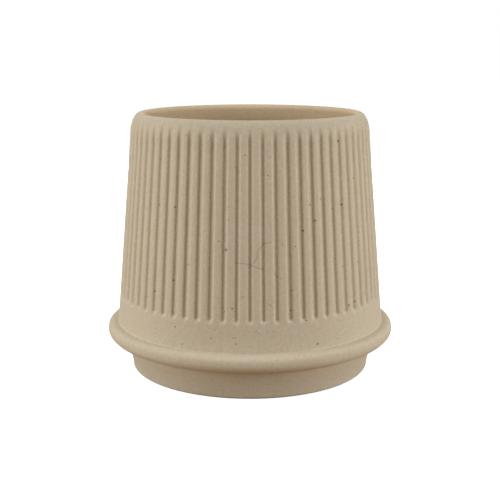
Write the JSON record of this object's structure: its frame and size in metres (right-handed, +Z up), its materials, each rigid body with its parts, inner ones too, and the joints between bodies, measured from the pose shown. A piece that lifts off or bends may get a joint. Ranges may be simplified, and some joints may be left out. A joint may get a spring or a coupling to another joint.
{
  "type": "garden pot",
  "caption": "Round tapering plant pot with fine vertical flutes, a thick rounded rim and a drain hole, standing in its own close-fitting ringed saucer.",
  "frame": {"origin": "centre of the saucer's underside, on the surface that the pot stands on", "axes": "+Z up along the pot's axis; the pot is round, so +X and +Y only fix the flutes, one of which faces -Y"},
  "size_m": [0.17, 0.17, 0.1508],
  "materials": {
    "saucer_stoneware": "matt",
    "pot_stoneware": "matt"
  },
  "bodies": {
    "saucer": {"saucer": "saucer_stoneware"},
    "pot": {"pot": "pot_stoneware"}
  },
  "joints": [
    {"name": "pot_lift", "type": "slide", "parent": "saucer", "child": "pot", "axis": [0, 0, 1], "range_m": [0, 0.06]}
  ]
}
